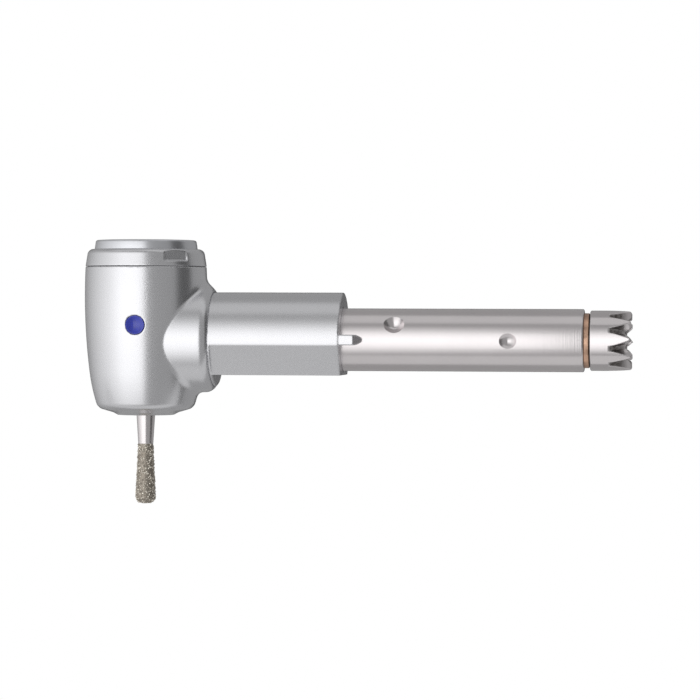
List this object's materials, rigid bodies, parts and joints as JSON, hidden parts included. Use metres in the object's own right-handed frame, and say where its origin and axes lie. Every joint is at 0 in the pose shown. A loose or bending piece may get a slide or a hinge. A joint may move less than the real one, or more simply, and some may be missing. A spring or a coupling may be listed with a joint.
{
  "type": "right-angle dental handpiece head",
  "caption": "Right-angle dental handpiece head with push-button chuck, diamond bur, bevel-gear drive, flatted neck sleeve, long shank tube and toothed drive coupling.",
  "frame": {"origin": "on the drive axis, in the rear end face of the neck sleeve, where the head seats in its handpiece", "axes": "+X along the shank tube towards the drive coupling, +Z along the head's axis towards the push button, so the bur points down; the colour dot is on the -Y side"},
  "size_m": [0.0475, 0.0106, 0.023],
  "materials": {
    "satin_steel": "fine bead-blasted satin",
    "polished_steel": "finely turned and polished",
    "hard_steel": "ground bearing and gear steel",
    "spring_steel": "bright spring steel",
    "bronze": "sintered bearing bronze",
    "black_rubber": "moulded fluoro rubber",
    "cage_polymer": "moulded cage polymer",
    "blue_enamel": "glossy blue enamel",
    "diamond_grit": "diamond grit in nickel bond"
  },
  "bodies": {
    "head": {"head_casing": "satin_steel", "back_cap": "satin_steel", "colour_dot": "blue_enamel", "preload_washer": "spring_steel", "upper_outer_race": "hard_steel", "lower_outer_race": "hard_steel", "nose_seal": "black_rubber", "return_spring": "spring_steel", "neck_sleeve": "satin_steel", "shank_tube": "polished_steel", "front_bush": "bronze", "rear_bush": "bronze"},
    "drive": {"drive_shaft": "hard_steel", "drive_gear": "hard_steel", "thrust_shim": "bronze", "shaft_clip": "spring_steel", "crown_coupling": "polished_steel", "coupling_screw": "hard_steel"},
    "chuck": {"chuck_spindle": "hard_steel", "chuck_collet": "polished_steel", "spindle_nut": "hard_steel", "spindle_clip": "spring_steel", "gear_shim": "bronze", "spindle_gear": "hard_steel", "upper_inner_race": "hard_steel", "lower_inner_race": "hard_steel"},
    "upper_ball_set": {"upper_ball_cage": "cage_polymer", "upper_ball_1": "polished_steel", "upper_ball_2": "polished_steel", "upper_ball_3": "polished_steel", "upper_ball_4": "polished_steel", "upper_ball_5": "polished_steel", "upper_ball_6": "polished_steel", "upper_ball_7": "polished_steel"},
    "lower_ball_set": {"lower_ball_cage": "cage_polymer", "lower_ball_1": "polished_steel", "lower_ball_2": "polished_steel", "lower_ball_3": "polished_steel", "lower_ball_4": "polished_steel", "lower_ball_5": "polished_steel", "lower_ball_6": "polished_steel", "lower_ball_7": "polished_steel"},
    "button": {"push_button": "polished_steel", "button_clip": "spring_steel", "button_o_ring": "black_rubber", "release_pin": "hard_steel"},
    "bur": {"bur_shank": "polished_steel", "bur_diamond_coating": "diamond_grit"}
  },
  "joints": [
    {"name": "drive_spin", "type": "hinge", "parent": "head", "child": "drive", "pos_m": [0, 0, 0], "axis": [1, 0, 0], "continuous": true},
    {"name": "chuck_spin", "type": "hinge", "parent": "head", "child": "chuck", "pos_m": [-0.01735, 0, 0], "axis": [0, 0, 1], "continuous": true},
    {"name": "upper_cage_orbit", "type": "hinge", "parent": "head", "child": "upper_ball_set", "pos_m": [-0.01735, 0, 0.0041], "axis": [0, 0, 1], "continuous": true},
    {"name": "lower_cage_orbit", "type": "hinge", "parent": "head", "child": "lower_ball_set", "pos_m": [-0.01735, 0, -0.0047], "axis": [0, 0, 1], "continuous": true},
    {"name": "button_press", "type": "slide", "parent": "head", "child": "button", "axis": [0, 0, -1], "range_m": [0, 0.0006], "stiffness_N_per_m": 12000, "springref_m": -0.0004, "deforming": ["return_spring"]},
    {"name": "bur_withdraw", "type": "slide", "parent": "chuck", "child": "bur", "axis": [0, 0, -1], "range_m": [0, 0.0115]}
  ],
  "couplings": [
    {"joint": "chuck_spin", "follows": "drive_spin", "ratio": 1},
    {"joint": "upper_cage_orbit", "follows": "drive_spin", "ratio": 0.3933},
    {"joint": "lower_cage_orbit", "follows": "drive_spin", "ratio": 0.3933}
  ]
}
